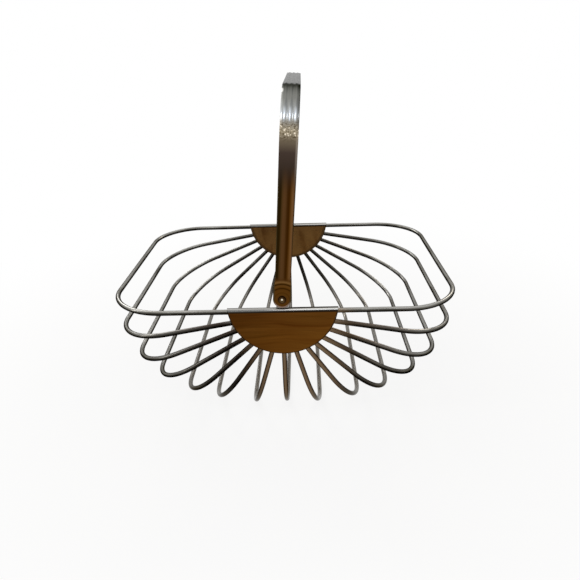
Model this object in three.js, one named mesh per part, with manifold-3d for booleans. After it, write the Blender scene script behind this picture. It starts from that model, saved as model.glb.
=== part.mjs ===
// Wire fruit basket with a swing handle. Millimetres, +Z up.
// X runs along the basket, Y from its front end plate to its rear one. The origin is on the table, under its
// middle.
import * as THREE from 'three';
import { mergeVertices } from 'three/addons/utils/BufferGeometryUtils.js';
import Module from 'manifold-3d';

const wasm = await Module();
wasm.setup();

// Driving dimensions: the basket
const rimHalfLength = 163; // middle of the basket to the centre line of a rim wire's far run
const basketDepth = 125; // top of the end plates' fold to the centre line of the lowest wire
const plateSpacing = 243; // middle of the front end plate to the middle of the rear one
const bodyFullness = 2.45; // exponent of the outline seen from the front: 2 is an ellipse, more is squarer

// Driving dimensions: the wires
const wireDiameter = 4.6;
const bendRadius = 52; // of a wire's centre line, between a leg and its run
const bendShare = 0.95; // the most of a short leg that its bend takes
const wireTail = 12; // length of a leg that is held inside the end plate
// Where the wires leave the plate's round edge, from the rim to the centre, and how steeply their legs then
// run down, both in degrees below level.
const socketAngles = [0, 21, 31.5, 43.5, 54, 64.5, 77, 90];
const legAngles = [0, 10, 22, 31, 43.5, 55.5, 74, 90];
const floorWires = 2; // the centre wire and the next one on each side lie on the table

// Driving dimensions: the end plates
const plateRadius = 50;
const plateRise = 3.3; // of the round edge's middle above the top of the fold
const plateSheet = 0.7; // thickness of the folded sheet
const rimWall = 1.3; // the turned-in edge of the two leaves
const rimRounding = 2.2; // outside radius of that edge
const leafSeam = 0.7; // slit that stays between the two turned-in edges

// Driving dimensions: the handle
const handleHeight = 185; // top of the fold to the flat top of the upright handle
const handleLean = 4.2; // degrees that the handle stands off upright, towards +X
const handleBend = 40; // inner radius of the handle's two bends
const stripWidth = 13.8; // at the foot of the two legs
const gripWidth = 15; // over the arch, where a hand holds it
const footWidth = 16.2; // of the strip's round ends
const stripThickness = 1.4; // at the ends, and between the ridges
const ridgePitch = 4; // from one of the three ridges along the strip to the next, at the foot of the legs
const ridgeHeight = 0.5;
const arcStart = 11; // from the rivet to the curved ridges across the strip
const arcPitch = 3.8;
const arcHeight = 0.4;
const arcCount = 2;
const lipDepth = 1.2; // how far the strip's long edges are turned back
const lipThickness = 1.1;
const edgeRounding = 0.5; // of the strip's long outer edges

// Driving dimensions: the ears and the rivets
const earThickness = 1.5;
const earWidth = 11;
const earFoot = 15; // length of the ear below the fold, between the two leaves
const earFootWidth = 19;
const earShoulder = 1.5; // height of the slope from the ear's foot up to its neck
const shankDiameter = 3.8;
const headDiameter = 7;
const headHeight = 2;
const tailDiameter = 6.2;
const tailHeight = 1.1;
const tailChamfer = 0.5;

// Clearances
const seatGap = 0.3; // between pieces that touch on the real basket
const socketGap = 0.25; // round a wire in its socket
const leafGap = 0.35; // between the wires and the two leaves
const swingGap = 0.9; // between the handle's round end and the fold below it
const hair = 0.02; // keeps the faces of two cut solids from lying in one plane

// Facets
const wireSides = 8;
const bendSteps = 8;
const foldSteps = 8;
const discSides = 64;
const socketSides = 12;
const rivetSides = 16;
const holeSides = 20;
const domeSteps = 5;
const stepsAcross = 18;
const arcSteps = 12;
const endSteps = 4;
const endAngle = 78; // how far round the strip's end its last section stands, degrees
const halvings = 50;

// Sizes that follow from those
const wireRadius = wireDiameter / 2;
const wireCorner = wireRadius / Math.cos(Math.PI / wireSides); // to a corner of the faceted wire
const cavityHalf = wireCorner + leafGap;
const plateHalf = cavityHalf + plateSheet;
const foldTop = basketDepth + wireRadius;
const foldAxis = foldTop - plateHalf;
const plateMiddle = foldTop + plateRise;
const stripHalf = stripWidth / 2;
const gripHalf = gripWidth / 2;
const footHalf = footWidth / 2;
const pivotZ = foldTop + swingGap + footHalf;
const stripInner = plateSpacing / 2 + earThickness / 2 + seatGap; // from the middle to the strip's inner face
const stripOuter = stripInner + stripThickness;
const shankRadius = shankDiameter / 2;
const pivotHole = shankRadius + seatGap;
const arcEnd = arcStart + arcCount * arcPitch;
const bendStart = foldTop + handleHeight - pivotZ - stripThickness - handleBend; // along the strip
const radians = THREE.MathUtils.degToRad;
const smooth = (from, to, value) => THREE.MathUtils.smoothstep(value, from, to);

// Finishes
const chrome = () => new THREE.MeshStandardMaterial({ color: 0xb9bab6, roughness: 0.18, metalness: 1 });
const brownPlate = () => new THREE.MeshStandardMaterial({ color: 0x56340f, roughness: 0.34, metalness: 0.4 });
const handleMetal = () => new THREE.MeshStandardMaterial({ color: 0x8a7458, roughness: 0.26, metalness: 1 });
const earSteel = () => new THREE.MeshStandardMaterial({ color: 0x8f8d88, roughness: 0.35, metalness: 1 });
const rivetSteel = () => new THREE.MeshStandardMaterial({ color: 0x6e5a3c, roughness: 0.22, metalness: 1 });

// Solids and geometries
const toSolid = (geometry, matrix = new THREE.Matrix4()) => {
  const bare = geometry.clone().applyMatrix4(matrix);
  bare.deleteAttribute('normal');
  bare.deleteAttribute('uv');
  const merged = mergeVertices(bare, 1e-4);
  return new wasm.Manifold(new wasm.Mesh({
    numProp: 3,
    vertProperties: new Float32Array(merged.attributes.position.array),
    triVerts: new Uint32Array(merged.index.array),
  }));
};

const toGeometry = (solid) => {
  const { vertProperties, triVerts } = solid.getMesh();
  const geometry = new THREE.BufferGeometry();
  geometry.setAttribute('position', new THREE.BufferAttribute(new Float32Array(vertProperties), 3));
  geometry.setIndex(new THREE.BufferAttribute(new Uint32Array(triVerts), 1));
  geometry.computeVertexNormals();
  return geometry;
};

const block = (x, y, z, centre) => toSolid(
  new THREE.BoxGeometry(x, y, z),
  new THREE.Matrix4().makeTranslation(centre),
);

// A turned solid whose axis lies along Y, at height z. The profile is a list of [radius, y].
const turned = (profile, sides, z) => toSolid(
  new THREE.LatheGeometry(profile.map(([radius, y]) => new THREE.Vector2(radius, y)), sides),
  new THREE.Matrix4().makeTranslation(0, 0, z),
);

// Turns a shape that was drawn flat and extruded, so that its three directions are the given ones.
const facing = (across, up, through) => new THREE.Matrix4().makeBasis(
  new THREE.Vector3(...across),
  new THREE.Vector3(...up),
  new THREE.Vector3(...through),
);

// Wires
// A wire's centre line lies in one plane: a leg out of the front plate, a bend, the run to the back, a bend
// and a leg. Its parameter goes from station to station, so that a section stands at every step of a bend and
// none on a straight.
class BentWire extends THREE.Curve {
  constructor(start, outward, legLength, radius, halfSpan) {
    super();
    const straight = legLength - radius;
    const half = [{ out: 0, y: -halfSpan, turn: 0 }];
    for (let i = 0; i <= bendSteps; i += 1) {
      const turn = (Math.PI / 2) * (i / bendSteps);
      half.push({
        out: straight + radius * Math.sin(turn),
        y: -halfSpan + radius * (1 - Math.cos(turn)),
        turn,
      });
    }
    const back = half.map(({ out, y, turn }) => ({ out, y: -y, turn: Math.PI - turn })).reverse();
    this.stations = [...half, ...back].map(({ out, y, turn }) => ({
      point: start.clone().addScaledVector(outward, out).setY(y),
      tangent: outward.clone().multiplyScalar(Math.cos(turn)).setY(Math.sin(turn)),
    }));
  }

  get steps() {
    return this.stations.length - 1;
  }

  between(t, key) {
    const place = THREE.MathUtils.clamp(t, 0, 1) * this.steps;
    const i = Math.min(Math.floor(place + 1e-9), this.steps - 1);
    return this.stations[i][key].clone().lerp(this.stations[i + 1][key], Math.max(place - i, 0));
  }

  getPoint(t, target = new THREE.Vector3()) {
    return target.copy(this.between(t, 'point'));
  }

  getPointAt(t, target) {
    return this.getPoint(t, target);
  }

  getTangentAt(t, target = new THREE.Vector3()) {
    return target.copy(this.between(t, 'tangent')).normalize();
  }
}

// Where leg number i leaves the plate's round edge, and how far it runs until the basket's outline stops it.
const legOf = (i) => {
  const socket = radians(socketAngles[i]);
  const slope = radians(legAngles[i]);
  // The rim wires lie in the curve of the fold.
  const exitZ = i === 0 ? foldAxis : plateMiddle - plateRadius * Math.sin(socket);
  const exit = new THREE.Vector3(Math.sqrt(plateRadius ** 2 - (plateMiddle - exitZ) ** 2), 0, exitZ);
  const outward = new THREE.Vector3(Math.cos(slope), 0, -Math.sin(slope));
  const onFloor = i >= socketAngles.length - floorWires;
  if (onFloor) {
    return { exit, outward, onFloor, length: (exit.z - wireRadius) / Math.sin(slope) };
  }
  // One where a leg of this length would end on the outline, less inside it.
  const fill = (length) => {
    const tip = exit.clone().addScaledVector(outward, length);
    return Math.abs(tip.x / rimHalfLength) ** bodyFullness
      + Math.abs((foldTop - tip.z) / basketDepth) ** bodyFullness;
  };
  let inside = 0;
  let outside = rimHalfLength + basketDepth;
  for (let n = 0; n < halvings; n += 1) {
    const middle = (inside + outside) / 2;
    if (fill(middle) < 1) {
      inside = middle;
    } else {
      outside = middle;
    }
  }
  return { exit, outward, onFloor, length: inside };
};

const onSide = (leg, side) => {
  leg.exit.x *= side;
  leg.outward.x *= side;
  return leg;
};

const wireSection = (roll) => {
  const corners = [];
  for (let i = 0; i < wireSides; i += 1) {
    const angle = roll + ((i + 0.5) * 2 * Math.PI) / wireSides;
    corners.push(new THREE.Vector2(Math.cos(angle), Math.sin(angle)).multiplyScalar(wireCorner));
  }
  return new THREE.Shape(corners);
};

const wireGeometry = (i, side) => {
  const { exit, outward, onFloor, length } = onSide(legOf(i), side);
  const start = exit.clone().addScaledVector(outward, -wireTail);
  const room = Math.min(length, plateSpacing / 2);
  const radius = Math.min(bendRadius, bendShare * room);
  const path = new BentWire(start, outward, length + wireTail, radius, plateSpacing / 2);
  // A wire that lies on the table has a flat side turned down to it.
  const roll = onFloor ? side * (Math.PI / 2 - radians(legAngles[i])) : 0;
  return new THREE.ExtrudeGeometry(wireSection(roll), {
    steps: path.steps,
    bevelEnabled: false,
    extrudePath: path,
  });
};

// End plates
// A round sheet folded along its middle, so that two half-moon leaves hold the wires' ends between them. The
// edges of the leaves are turned in towards each other, with a socket for each wire and a slit from socket to
// socket.
const foldedPrism = (half) => {
  const outline = new THREE.Shape();
  outline.moveTo(-half, foldAxis - 2 * plateRadius);
  outline.lineTo(half, foldAxis - 2 * plateRadius);
  outline.lineTo(half, foldAxis);
  outline.absarc(0, foldAxis, half, 0, Math.PI, false);
  const geometry = new THREE.ExtrudeGeometry(outline, {
    depth: 4 * plateRadius,
    bevelEnabled: false,
    curveSegments: foldSteps,
  });
  const shift = new THREE.Matrix4().makeTranslation(-2 * plateRadius, 0, 0);
  return toSolid(geometry, shift.multiply(facing([0, 1, 0], [0, 0, 1], [1, 0, 0])));
};

// A disc about the middle of the round edge, thicker than the plate, with the plate's rounded rim.
const roundedDisc = () => {
  const flank = plateHalf + hair - rimRounding;
  const steps = 4;
  const edge = [];
  for (let i = 0; i <= steps; i += 1) {
    const angle = (Math.PI / 2) * (i / steps);
    edge.push([
      plateRadius + rimRounding * (Math.cos(angle) - 1),
      flank + rimRounding * Math.sin(angle),
    ]);
  }
  const lower = edge.map(([radius, y]) => [radius, -y]).reverse();
  return turned([[0, -plateHalf - hair], ...lower, ...edge, [0, plateHalf + hair]], discSides, plateMiddle);
};

const plateGeometry = () => {
  const innerRadius = plateRadius - rimWall;
  const beyond = 2 * plateHalf;
  const innerDisc = turned(
    [[0, -beyond], [innerRadius, -beyond], [innerRadius, beyond], [0, beyond]],
    discSides,
    plateMiddle,
  );
  let plate = foldedPrism(plateHalf)
    .intersect(roundedDisc())
    .subtract(foldedPrism(cavityHalf).intersect(innerDisc));
  const slit = turned([
    [innerRadius - rimWall, -leafSeam / 2],
    [plateRadius + rimWall, -leafSeam / 2],
    [plateRadius + rimWall, leafSeam / 2],
    [innerRadius - rimWall, leafSeam / 2],
    [innerRadius - rimWall, -leafSeam / 2],
  ], discSides, plateMiddle);
  const belowFold = block(
    4 * plateRadius,
    beyond,
    2 * plateRadius,
    new THREE.Vector3(0, 0, foldAxis - cavityHalf - plateRadius),
  );
  plate = plate.subtract(slit.intersect(belowFold));
  const socketCorner = (wireCorner + socketGap) / Math.cos(Math.PI / socketSides);
  const socket = new THREE.CylinderGeometry(socketCorner, socketCorner, wireTail, socketSides);
  socketAngles.forEach((angle, i) => {
    for (const side of angle === 90 ? [1] : [-1, 1]) {
      const { exit, outward } = onSide(legOf(i), side);
      const turn = new THREE.Quaternion().setFromUnitVectors(new THREE.Vector3(0, 1, 0), outward);
      const toExit = new THREE.Matrix4().makeRotationFromQuaternion(turn).setPosition(exit);
      plate = plate.subtract(toSolid(socket, toExit));
    }
  });
  // The ear comes up through a slot in the fold.
  const earSlot = block(
    earWidth + 2 * seatGap,
    earThickness + 2 * seatGap,
    4 * plateSheet,
    new THREE.Vector3(0, 0, foldTop),
  );
  return toGeometry(plate.subtract(earSlot));
};

// Handle ears
// A flat ear: round about the rivet at its top, and wider below the fold so that it can't pull out.
const earGeometry = () => {
  const neck = earWidth / 2;
  const foot = earFootWidth / 2;
  const shoulder = foldTop - plateSheet - 2 * seatGap;
  const outline = new THREE.Shape();
  outline.moveTo(-foot, shoulder - earFoot);
  outline.lineTo(foot, shoulder - earFoot);
  outline.lineTo(foot, shoulder - earShoulder);
  outline.lineTo(neck, shoulder);
  outline.lineTo(neck, pivotZ);
  outline.absarc(0, pivotZ, neck, 0, Math.PI, false);
  outline.lineTo(-neck, shoulder);
  outline.lineTo(-foot, shoulder - earShoulder);
  const hole = new THREE.Path();
  hole.absarc(0, pivotZ, pivotHole, 0, 2 * Math.PI, true);
  outline.holes.push(hole);
  const geometry = new THREE.ExtrudeGeometry(outline, {
    depth: earThickness,
    bevelEnabled: false,
    curveSegments: holeSides / 2,
  });
  const shift = new THREE.Matrix4().makeTranslation(0, earThickness / 2, 0);
  return geometry.applyMatrix4(shift.multiply(facing([1, 0, 0], [0, 0, 1], [0, -1, 0])));
};

// Rivets
// Domed head outside the handle, shank through handle and ear, and a flatter closed head behind the ear.
// Y is the way out from the middle of the end plate.
const rivetGeometry = () => {
  const head = headDiameter / 2;
  const headSeat = stripOuter + seatGap - plateSpacing / 2;
  const tail = tailDiameter / 2;
  const tailSeat = -earThickness / 2 - seatGap;
  const tailEnd = tailSeat - tailHeight;
  const profile = [
    [0, tailEnd],
    [tail - tailChamfer, tailEnd],
    [tail, tailEnd + tailChamfer],
    [tail, tailSeat],
    [shankRadius, tailSeat],
    [shankRadius, headSeat],
  ];
  for (let i = 0; i < domeSteps; i += 1) {
    const angle = (Math.PI / 2) * (i / domeSteps);
    profile.push([head * Math.cos(angle), headSeat + headHeight * Math.sin(angle)]);
  }
  profile.push([0, headSeat + headHeight]);
  return new THREE.LatheGeometry(profile.map(([radius, y]) => new THREE.Vector2(radius, y)), rivetSides);
};

// Handle
// The strip runs up from the front rivet, over a flat top and down to the rear rivet. Three ridges run along
// its outer face and end above each rivet in curved ridges across it. Its long edges are turned back.
const formedFrom = arcEnd - arcPitch; // the turned edges start here, along the strip from the rivet
const formedTo = arcEnd + arcPitch;

// Half the strip's width, at a distance along it from the rivet. It widens evenly up each leg.
const halfWidth = (along) => {
  if (along < 0) {
    return Math.sqrt(Math.max(footHalf ** 2 - along ** 2, 0));
  }
  const leg = THREE.MathUtils.clamp((along - formedTo) / (bendStart - formedTo), 0, 1);
  const half = THREE.MathUtils.lerp(stripHalf, gripHalf, leg);
  return THREE.MathUtils.lerp(footHalf, half, smooth(arcStart, formedTo, along));
};

// Height of the ridges at x across the strip and at a distance along it. They spread as the strip widens.
const ridges = (x, along) => {
  const fromRivet = Math.hypot(x, along);
  const half = halfWidth(along);
  const edgeFade = 1 - smooth(half - lipThickness, half, Math.abs(x));
  const pitch = ridgePitch * (half / stripHalf);
  if (along <= 0 || fromRivet < arcStart) {
    return 0;
  }
  if (fromRivet < arcEnd) {
    const wave = 0.5 - 0.5 * Math.cos((2 * Math.PI * (fromRivet - arcStart)) / arcPitch);
    return arcHeight * wave * edgeFade;
  }
  const onRidges = Math.abs(x) < 1.5 * pitch;
  const wave = onRidges ? 0.5 + 0.5 * Math.cos((2 * Math.PI * x) / pitch) : 0;
  return ridgeHeight * wave * edgeFade * smooth(arcEnd, formedTo, fromRivet);
};

// One closed section of the strip. Each corner is [x across, height over the inner face].
const stripSection = (along) => {
  const half = halfWidth(along);
  const formed = smooth(formedFrom, formedTo, along);
  const lip = Math.max(lipDepth * formed, hair);
  const lipInner = half * (1 - lipThickness / stripHalf);
  const section = [[-half, -lip]];
  for (let i = 0; i <= stepsAcross; i += 1) {
    const x = half * ((2 * i) / stepsAcross - 1);
    const drop = i === 0 || i === stepsAcross ? edgeRounding : 0;
    section.push([x, stripThickness + ridges(x, along) - drop]);
  }
  section.push([half, -lip], [lipInner, -lip], [lipInner, 0], [-lipInner, 0], [-lipInner, -lip]);
  return section;
};

// Stations along the strip: a point on the inner face, the way out from it, and the distance from the rivet.
const stripStations = () => {
  const distances = [];
  for (let i = endSteps; i >= 0; i -= 1) {
    distances.push(-footHalf * Math.sin(radians(endAngle * (i / endSteps))));
  }
  distances.push(footHalf);
  for (let i = 0; i <= arcSteps; i += 1) {
    distances.push(THREE.MathUtils.lerp(arcStart, formedTo, i / arcSteps));
  }
  distances.push(formedTo + arcPitch);
  const front = distances.map((along) => ({
    point: new THREE.Vector3(0, -stripInner, along),
    out: new THREE.Vector3(0, -1, 0),
    along,
  }));
  for (let i = 0; i <= bendSteps; i += 1) {
    const angle = (Math.PI / 2) * (i / bendSteps);
    const out = new THREE.Vector3(0, -Math.cos(angle), Math.sin(angle));
    const point = new THREE.Vector3(0, handleBend - stripInner, bendStart).addScaledVector(out, handleBend);
    front.push({ point, out, along: bendStart + handleBend * angle });
  }
  const rear = front.map(({ point, out, along }) => ({
    point: new THREE.Vector3(0, -point.y, point.z),
    out: new THREE.Vector3(0, -out.y, out.z),
    along,
  })).reverse();
  return [...front, ...rear];
};

// A closed mesh through equal sections, with a fan over each end.
const loft = (rings) => {
  const count = rings[0].length;
  const points = rings.flat();
  const faces = [];
  for (let ring = 0; ring < rings.length - 1; ring += 1) {
    for (let i = 0; i < count; i += 1) {
      const a = ring * count + i;
      const b = ring * count + ((i + 1) % count);
      faces.push(a, b, b + count);
      faces.push(a, b + count, a + count);
    }
  }
  for (const ring of [0, rings.length - 1]) {
    const middle = new THREE.Vector3();
    rings[ring].forEach((point) => middle.addScaledVector(point, 1 / count));
    const centre = points.push(middle) - 1;
    for (let i = 0; i < count; i += 1) {
      const a = ring * count + i;
      const b = ring * count + ((i + 1) % count);
      faces.push(...(ring === 0 ? [centre, b, a] : [centre, a, b]));
    }
  }
  const geometry = new THREE.BufferGeometry().setFromPoints(points);
  geometry.setIndex(faces);
  return geometry;
};

const handleGeometry = () => {
  const rings = stripStations().map(({ point, out, along }) => stripSection(along).map(
    ([x, height]) => new THREE.Vector3(x, 0, 0).add(point).addScaledVector(out, height),
  ));
  const end = stripOuter + stripThickness;
  const rivetHoles = turned([[0, -end], [pivotHole, -end], [pivotHole, end], [0, end]], holeSides, 0);
  return toGeometry(toSolid(loft(rings)).subtract(rivetHoles));
};

// Assembly
const basket = new THREE.Group();

const place = (name, geometry, material, parent = basket) => {
  const mesh = new THREE.Mesh(geometry, material);
  mesh.name = name;
  parent.add(mesh);
  return mesh;
};

const centre = socketAngles.length - 1;
for (const [sideName, side] of [['left', -1], ['right', 1]]) {
  place(`${sideName}_rim_wire`, wireGeometry(0, side), chrome());
  for (let i = 1; i < centre; i += 1) {
    place(`${sideName}_wire_${i}`, wireGeometry(i, side), chrome());
  }
}
place('centre_wire', wireGeometry(centre, 1), chrome());

for (const [endName, end] of [['front', -1], ['rear', 1]]) {
  const y = (end * plateSpacing) / 2;
  place(`${endName}_end_plate`, plateGeometry(), brownPlate()).position.y = y;
  place(`${endName}_handle_ear`, earGeometry(), earSteel()).position.y = y;
  const rivet = place(`${endName}_rivet`, rivetGeometry(), rivetSteel());
  rivet.position.set(0, y, pivotZ);
  rivet.rotation.z = end < 0 ? Math.PI : 0;
}

const handlePivot = new THREE.Group();
handlePivot.position.z = pivotZ;
handlePivot.rotation.y = radians(handleLean);
basket.add(handlePivot);
place('swing_handle', handleGeometry(), handleMetal(), handlePivot);

export default basket;
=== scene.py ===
# Wire fruit basket with a swing handle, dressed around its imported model.
# Metres, with +Z up and +Y towards the rear end plate.
import math

import bmesh
import bpy
from mathutils import Matrix, Vector


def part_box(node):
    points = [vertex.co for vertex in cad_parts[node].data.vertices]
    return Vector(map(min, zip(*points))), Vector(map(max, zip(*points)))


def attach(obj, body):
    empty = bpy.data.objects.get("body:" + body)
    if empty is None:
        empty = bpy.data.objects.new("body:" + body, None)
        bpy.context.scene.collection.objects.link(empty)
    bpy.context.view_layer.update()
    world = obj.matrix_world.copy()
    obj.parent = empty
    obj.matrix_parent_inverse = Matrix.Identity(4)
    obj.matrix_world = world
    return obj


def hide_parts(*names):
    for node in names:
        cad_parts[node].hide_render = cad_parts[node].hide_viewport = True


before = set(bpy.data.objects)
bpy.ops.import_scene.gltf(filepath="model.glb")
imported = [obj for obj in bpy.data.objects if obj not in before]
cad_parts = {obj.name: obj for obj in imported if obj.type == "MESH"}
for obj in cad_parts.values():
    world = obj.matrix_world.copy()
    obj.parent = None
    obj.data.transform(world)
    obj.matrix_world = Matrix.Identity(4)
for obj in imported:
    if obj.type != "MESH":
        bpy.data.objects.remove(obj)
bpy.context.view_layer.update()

# Basket wires
# Fifteen lengths of drawn steel wire, each bent to a U and plated with bright chromium. They fan out
# between the two end plates, with the two rim wires level and the lowest three lying on the table.

MM = 0.001
wire_radius = 2.3 * MM
wire_sides = 24
bend_radius = 52 * MM
bend_share = 0.95
bend_steps = 28
wire_tail = 12 * MM
plate_low, plate_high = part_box("front_end_plate")
plate_half = (plate_high.y - plate_low.y) / 2
plate_spacing = -(plate_high.y + plate_low.y)
plate_radius = 50 * MM
fold_top = plate_high.z
fold_axis = fold_top - plate_half
disc_rise = 3.3 * MM
plate_middle = fold_top + disc_rise
rim_half_length = 163 * MM
basket_depth = 125 * MM
body_fullness = 2.45
socket_angles = [0, 21, 31.5, 43.5, 54, 64.5, 77, 90]
leg_angles = [0, 10, 22, 31, 43.5, 55.5, 74, 90]
floor_wires = 2
length_halvings = 50
side_reflection_middle = 12 * MM
crease = math.radians(40)
smoothly = {"interpolation_type": "SMOOTHSTEP"}


def srgb(code):
    """A hex colour as linear RGBA."""
    channels = [int(code[i:i + 2], 16) / 255 for i in (1, 3, 5)]
    linear = [c / 12.92 if c <= 0.04045 else ((c + 0.055) / 1.055) ** 2.4 for c in channels]
    return (*linear, 1.0)


def add(tree, kind, inputs, stops=(), **settings):
    """Adds a node. An input takes a value, an output, or a node for its first output in use.

    A colour ramp's stops are places from 0 to 1 with their hex colours.
    """
    node = tree.nodes.new("ShaderNode" + kind)
    for name, value in settings.items():
        setattr(node, name, value)
    for _ in stops[2:]:
        node.color_ramp.elements.new(1.0)
    for k, (place, colour) in enumerate(stops):
        node.color_ramp.elements[k].position = place
        node.color_ramp.elements[k].color = srgb(colour)
    for name, value in inputs.items():
        if isinstance(value, bpy.types.Node):
            value = next(output for output in value.outputs if output.enabled)
        if isinstance(value, bpy.types.NodeSocket):
            tree.links.new(value, node.inputs[name])
        else:
            node.inputs[name].default_value = value
    return node


def pattern_scale(x, y, z=math.inf):
    """The scale of a pattern whose marks are so many millimetres long in each direction."""
    return tuple(1 / (size * MM) for size in (x, y, z))


def flat_offset(tree, place, height):
    """Adds nodes for the way to a place from the basket's middle at a height, without its part along Y."""
    away = add(tree, "VectorMath", {0: place, 1: (0, 0, height)}, operation="SUBTRACT")
    return add(tree, "VectorMath", {0: away, 1: (1, 0, 1)}, operation="MULTIPLY")


def distance_from(tree, coordinate, mark):
    """Adds nodes for how far a coordinate is from a mark, to either side."""
    past = add(tree, "Math", {0: coordinate, 1: mark}, operation="SUBTRACT")
    return add(tree, "Math", {0: past}, operation="ABSOLUTE")


def polish_and_relief(tree, pattern, smooth, rough, strength, depth):
    """Adds nodes that turn a fine pattern into a surface's roughness and its relief."""
    polish = add(tree, "MapRange", {
        "Value": pattern, "From Min": 0.3, "From Max": 0.7, "To Min": smooth, "To Max": rough})
    return polish, add(tree, "Bump", {"Height": pattern, "Strength": strength, "Distance": depth})


def new_material(name):
    """A material and its empty node tree."""
    material = bpy.data.materials.new(name)
    material.use_nodes = True
    material.node_tree.nodes.clear()
    return material, material.node_tree


def new_piece(name, points, faces, material):
    """A mesh object with smooth faces, and sharp edges where the surface turns by more than the crease."""
    mesh = bpy.data.meshes.new(name)
    mesh.from_pydata([tuple(p) for p in points], [], faces)
    piece = bpy.data.objects.new(name, mesh)
    bpy.context.scene.collection.objects.link(piece)
    mesh.materials.append(material)
    shade(mesh)
    return piece


def shade(mesh):
    """Turns all faces outward and smooth, and marks the edges over the crease as sharp."""
    work = bmesh.new()
    work.from_mesh(mesh)
    bmesh.ops.recalc_face_normals(work, faces=work.faces)
    for face in work.faces:
        face.smooth = True
    for edge in work.edges:
        edge.smooth = len(edge.link_faces) == 2 and edge.calc_face_angle(0) < crease
    work.to_mesh(mesh)
    work.free()


def leg_of(i, side):
    """Where leg i leaves the plate's edge, its direction, and its length to the basket's outline."""
    socket = math.radians(socket_angles[i])
    slope = math.radians(leg_angles[i])
    leave_z = fold_axis if i == 0 else plate_middle - plate_radius * math.sin(socket)
    leave = Vector((side * math.sqrt(plate_radius ** 2 - (plate_middle - leave_z) ** 2), 0, leave_z))
    outward = Vector((side * math.cos(slope), 0, -math.sin(slope)))
    if i >= len(socket_angles) - floor_wires:
        return leave, outward, (leave_z - wire_radius) / math.sin(slope)
    inside, outside = 0, rim_half_length + basket_depth
    for _ in range(length_halvings):
        middle = (inside + outside) / 2
        tip = leave + outward * middle
        fill = abs(tip.x / rim_half_length) ** body_fullness
        fill += abs((fold_top - tip.z) / basket_depth) ** body_fullness
        inside, outside = (middle, outside) if fill < 1 else (inside, middle)
    return leave, outward, inside


def wire_path(i, side):
    """Points along a wire's middle, each with the wire's direction there."""
    leave, outward, length = leg_of(i, side)
    start = leave - outward * wire_tail
    half_span = plate_spacing / 2
    radius = min(bend_radius, bend_share * min(length, half_span))
    straight = length + wire_tail - radius
    half = [(0, -half_span, 0), (straight / 2, -half_span, 0)]
    for k in range(bend_steps + 1):
        turn = math.pi / 2 * k / bend_steps
        half.append((straight + radius * math.sin(turn), -half_span + radius * (1 - math.cos(turn)), turn))
    back = [(out, -y, math.pi - turn) for out, y, turn in reversed(half)]
    path = []
    for out, y, turn in half + back:
        point = start + outward * out + Vector((0, y, 0))
        path.append((point, outward * math.cos(turn) + Vector((0, math.sin(turn), 0))))
    return path


def ring_faces(rings, count):
    """Faces that join closed rings of so many points, each ring to the next."""
    faces = []
    for first in range(0, (rings - 1) * count, count):
        for k in range(count):
            a, b = first + k, first + (k + 1) % count
            faces.append((a, b, b + count, a + count))
    return faces


def swept_wire(name, path, material):
    """A round bar along a flat path, with UVs in metres: round the bar, and along it."""
    across = path[0][1].cross(Vector((0, 1, 0))).normalized()
    points = []
    for point, along in path:
        up = along.cross(across).normalized()
        for k in range(wire_sides):
            angle = 2 * math.pi * k / wire_sides
            points.append(point + wire_radius * (math.cos(angle) * across + math.sin(angle) * up))
    faces = ring_faces(len(path), wire_sides)
    faces.append(tuple(reversed(range(wire_sides))))
    faces.append(tuple(range(len(points) - wire_sides, len(points))))
    piece = new_piece(name, points, faces, material)
    run = [0.0]
    for (a, _), (b, _) in zip(path[:-1], path[1:]):
        run.append(run[-1] + (b - a).length)
    uv = piece.data.uv_layers.new(name="wire")
    for polygon in piece.data.polygons:
        corners = [(k, *divmod(piece.data.loops[k].vertex_index, wire_sides)) for k in polygon.loop_indices]
        over_seam = {spot for _, _, spot in corners} == {0, wire_sides - 1}
        for k, ring, spot in corners:
            turn = wire_sides if over_seam and spot == 0 else spot
            uv.data[k].uv = (2 * math.pi * wire_radius * turn / wire_sides, run[ring])
    return piece


# Chromium over drawn steel, dulled: painted light along the top, grey at the sides and painted shade nearly
# black below. Near the plates it carries a painted reflection of their brown, and where it stands on the
# table it is painted light, a painted reflection of the white table. The drawing marks are really finer than
# 0.1 mm, and are drawn 1 mm wide so that they show.
dulled_chromium, tree = new_material("dulled_chromium_on_drawn_wire")
round_and_along = add(tree, "UVMap", {}, uv_map="wire")
marks_place = add(tree, "Mapping", {"Vector": round_and_along, "Scale": pattern_scale(1, 45.5)})
marks = add(tree, "TexNoise", {"Vector": marks_place, "Scale": 1.0, "Detail": 2.0, "Roughness": 0.5})
wire_place = add(tree, "TexCoord", {})
# Painted light and shade: the colour turns lighter where the wire faces up and darker where it faces down.
turned_up = add(tree, "SeparateXYZ", {"Vector": wire_place.outputs["Normal"]})
patches = add(tree, "TexNoise", {
    "Vector": wire_place.outputs["Object"], "Scale": 1 / (33.3 * MM), "Detail": 2.0})
patchy_light_from_above = add(tree, "Math", {0: patches, 1: 0.8, 2: turned_up.outputs["Z"]}, operation="MULTIPLY_ADD")
lit_and_marked = add(tree, "Math", {0: marks, 1: 0.3, 2: patchy_light_from_above}, operation="MULTIPLY_ADD")
lit_and_marked_share = add(tree, "MapRange", {"Value": lit_and_marked, "From Min": -0.45, "From Max": 1.55})
marked_and_lit_tone = add(tree, "ValToRGB", {"Fac": lit_and_marked_share}, stops=[
    (0.20, "#0d0a07"), (0.43, "#191611"), (0.57, "#302d28"), (0.71, "#54524c"), (0.84, "#73716b"),
    (0.97, "#9f9e9a")])
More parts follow.
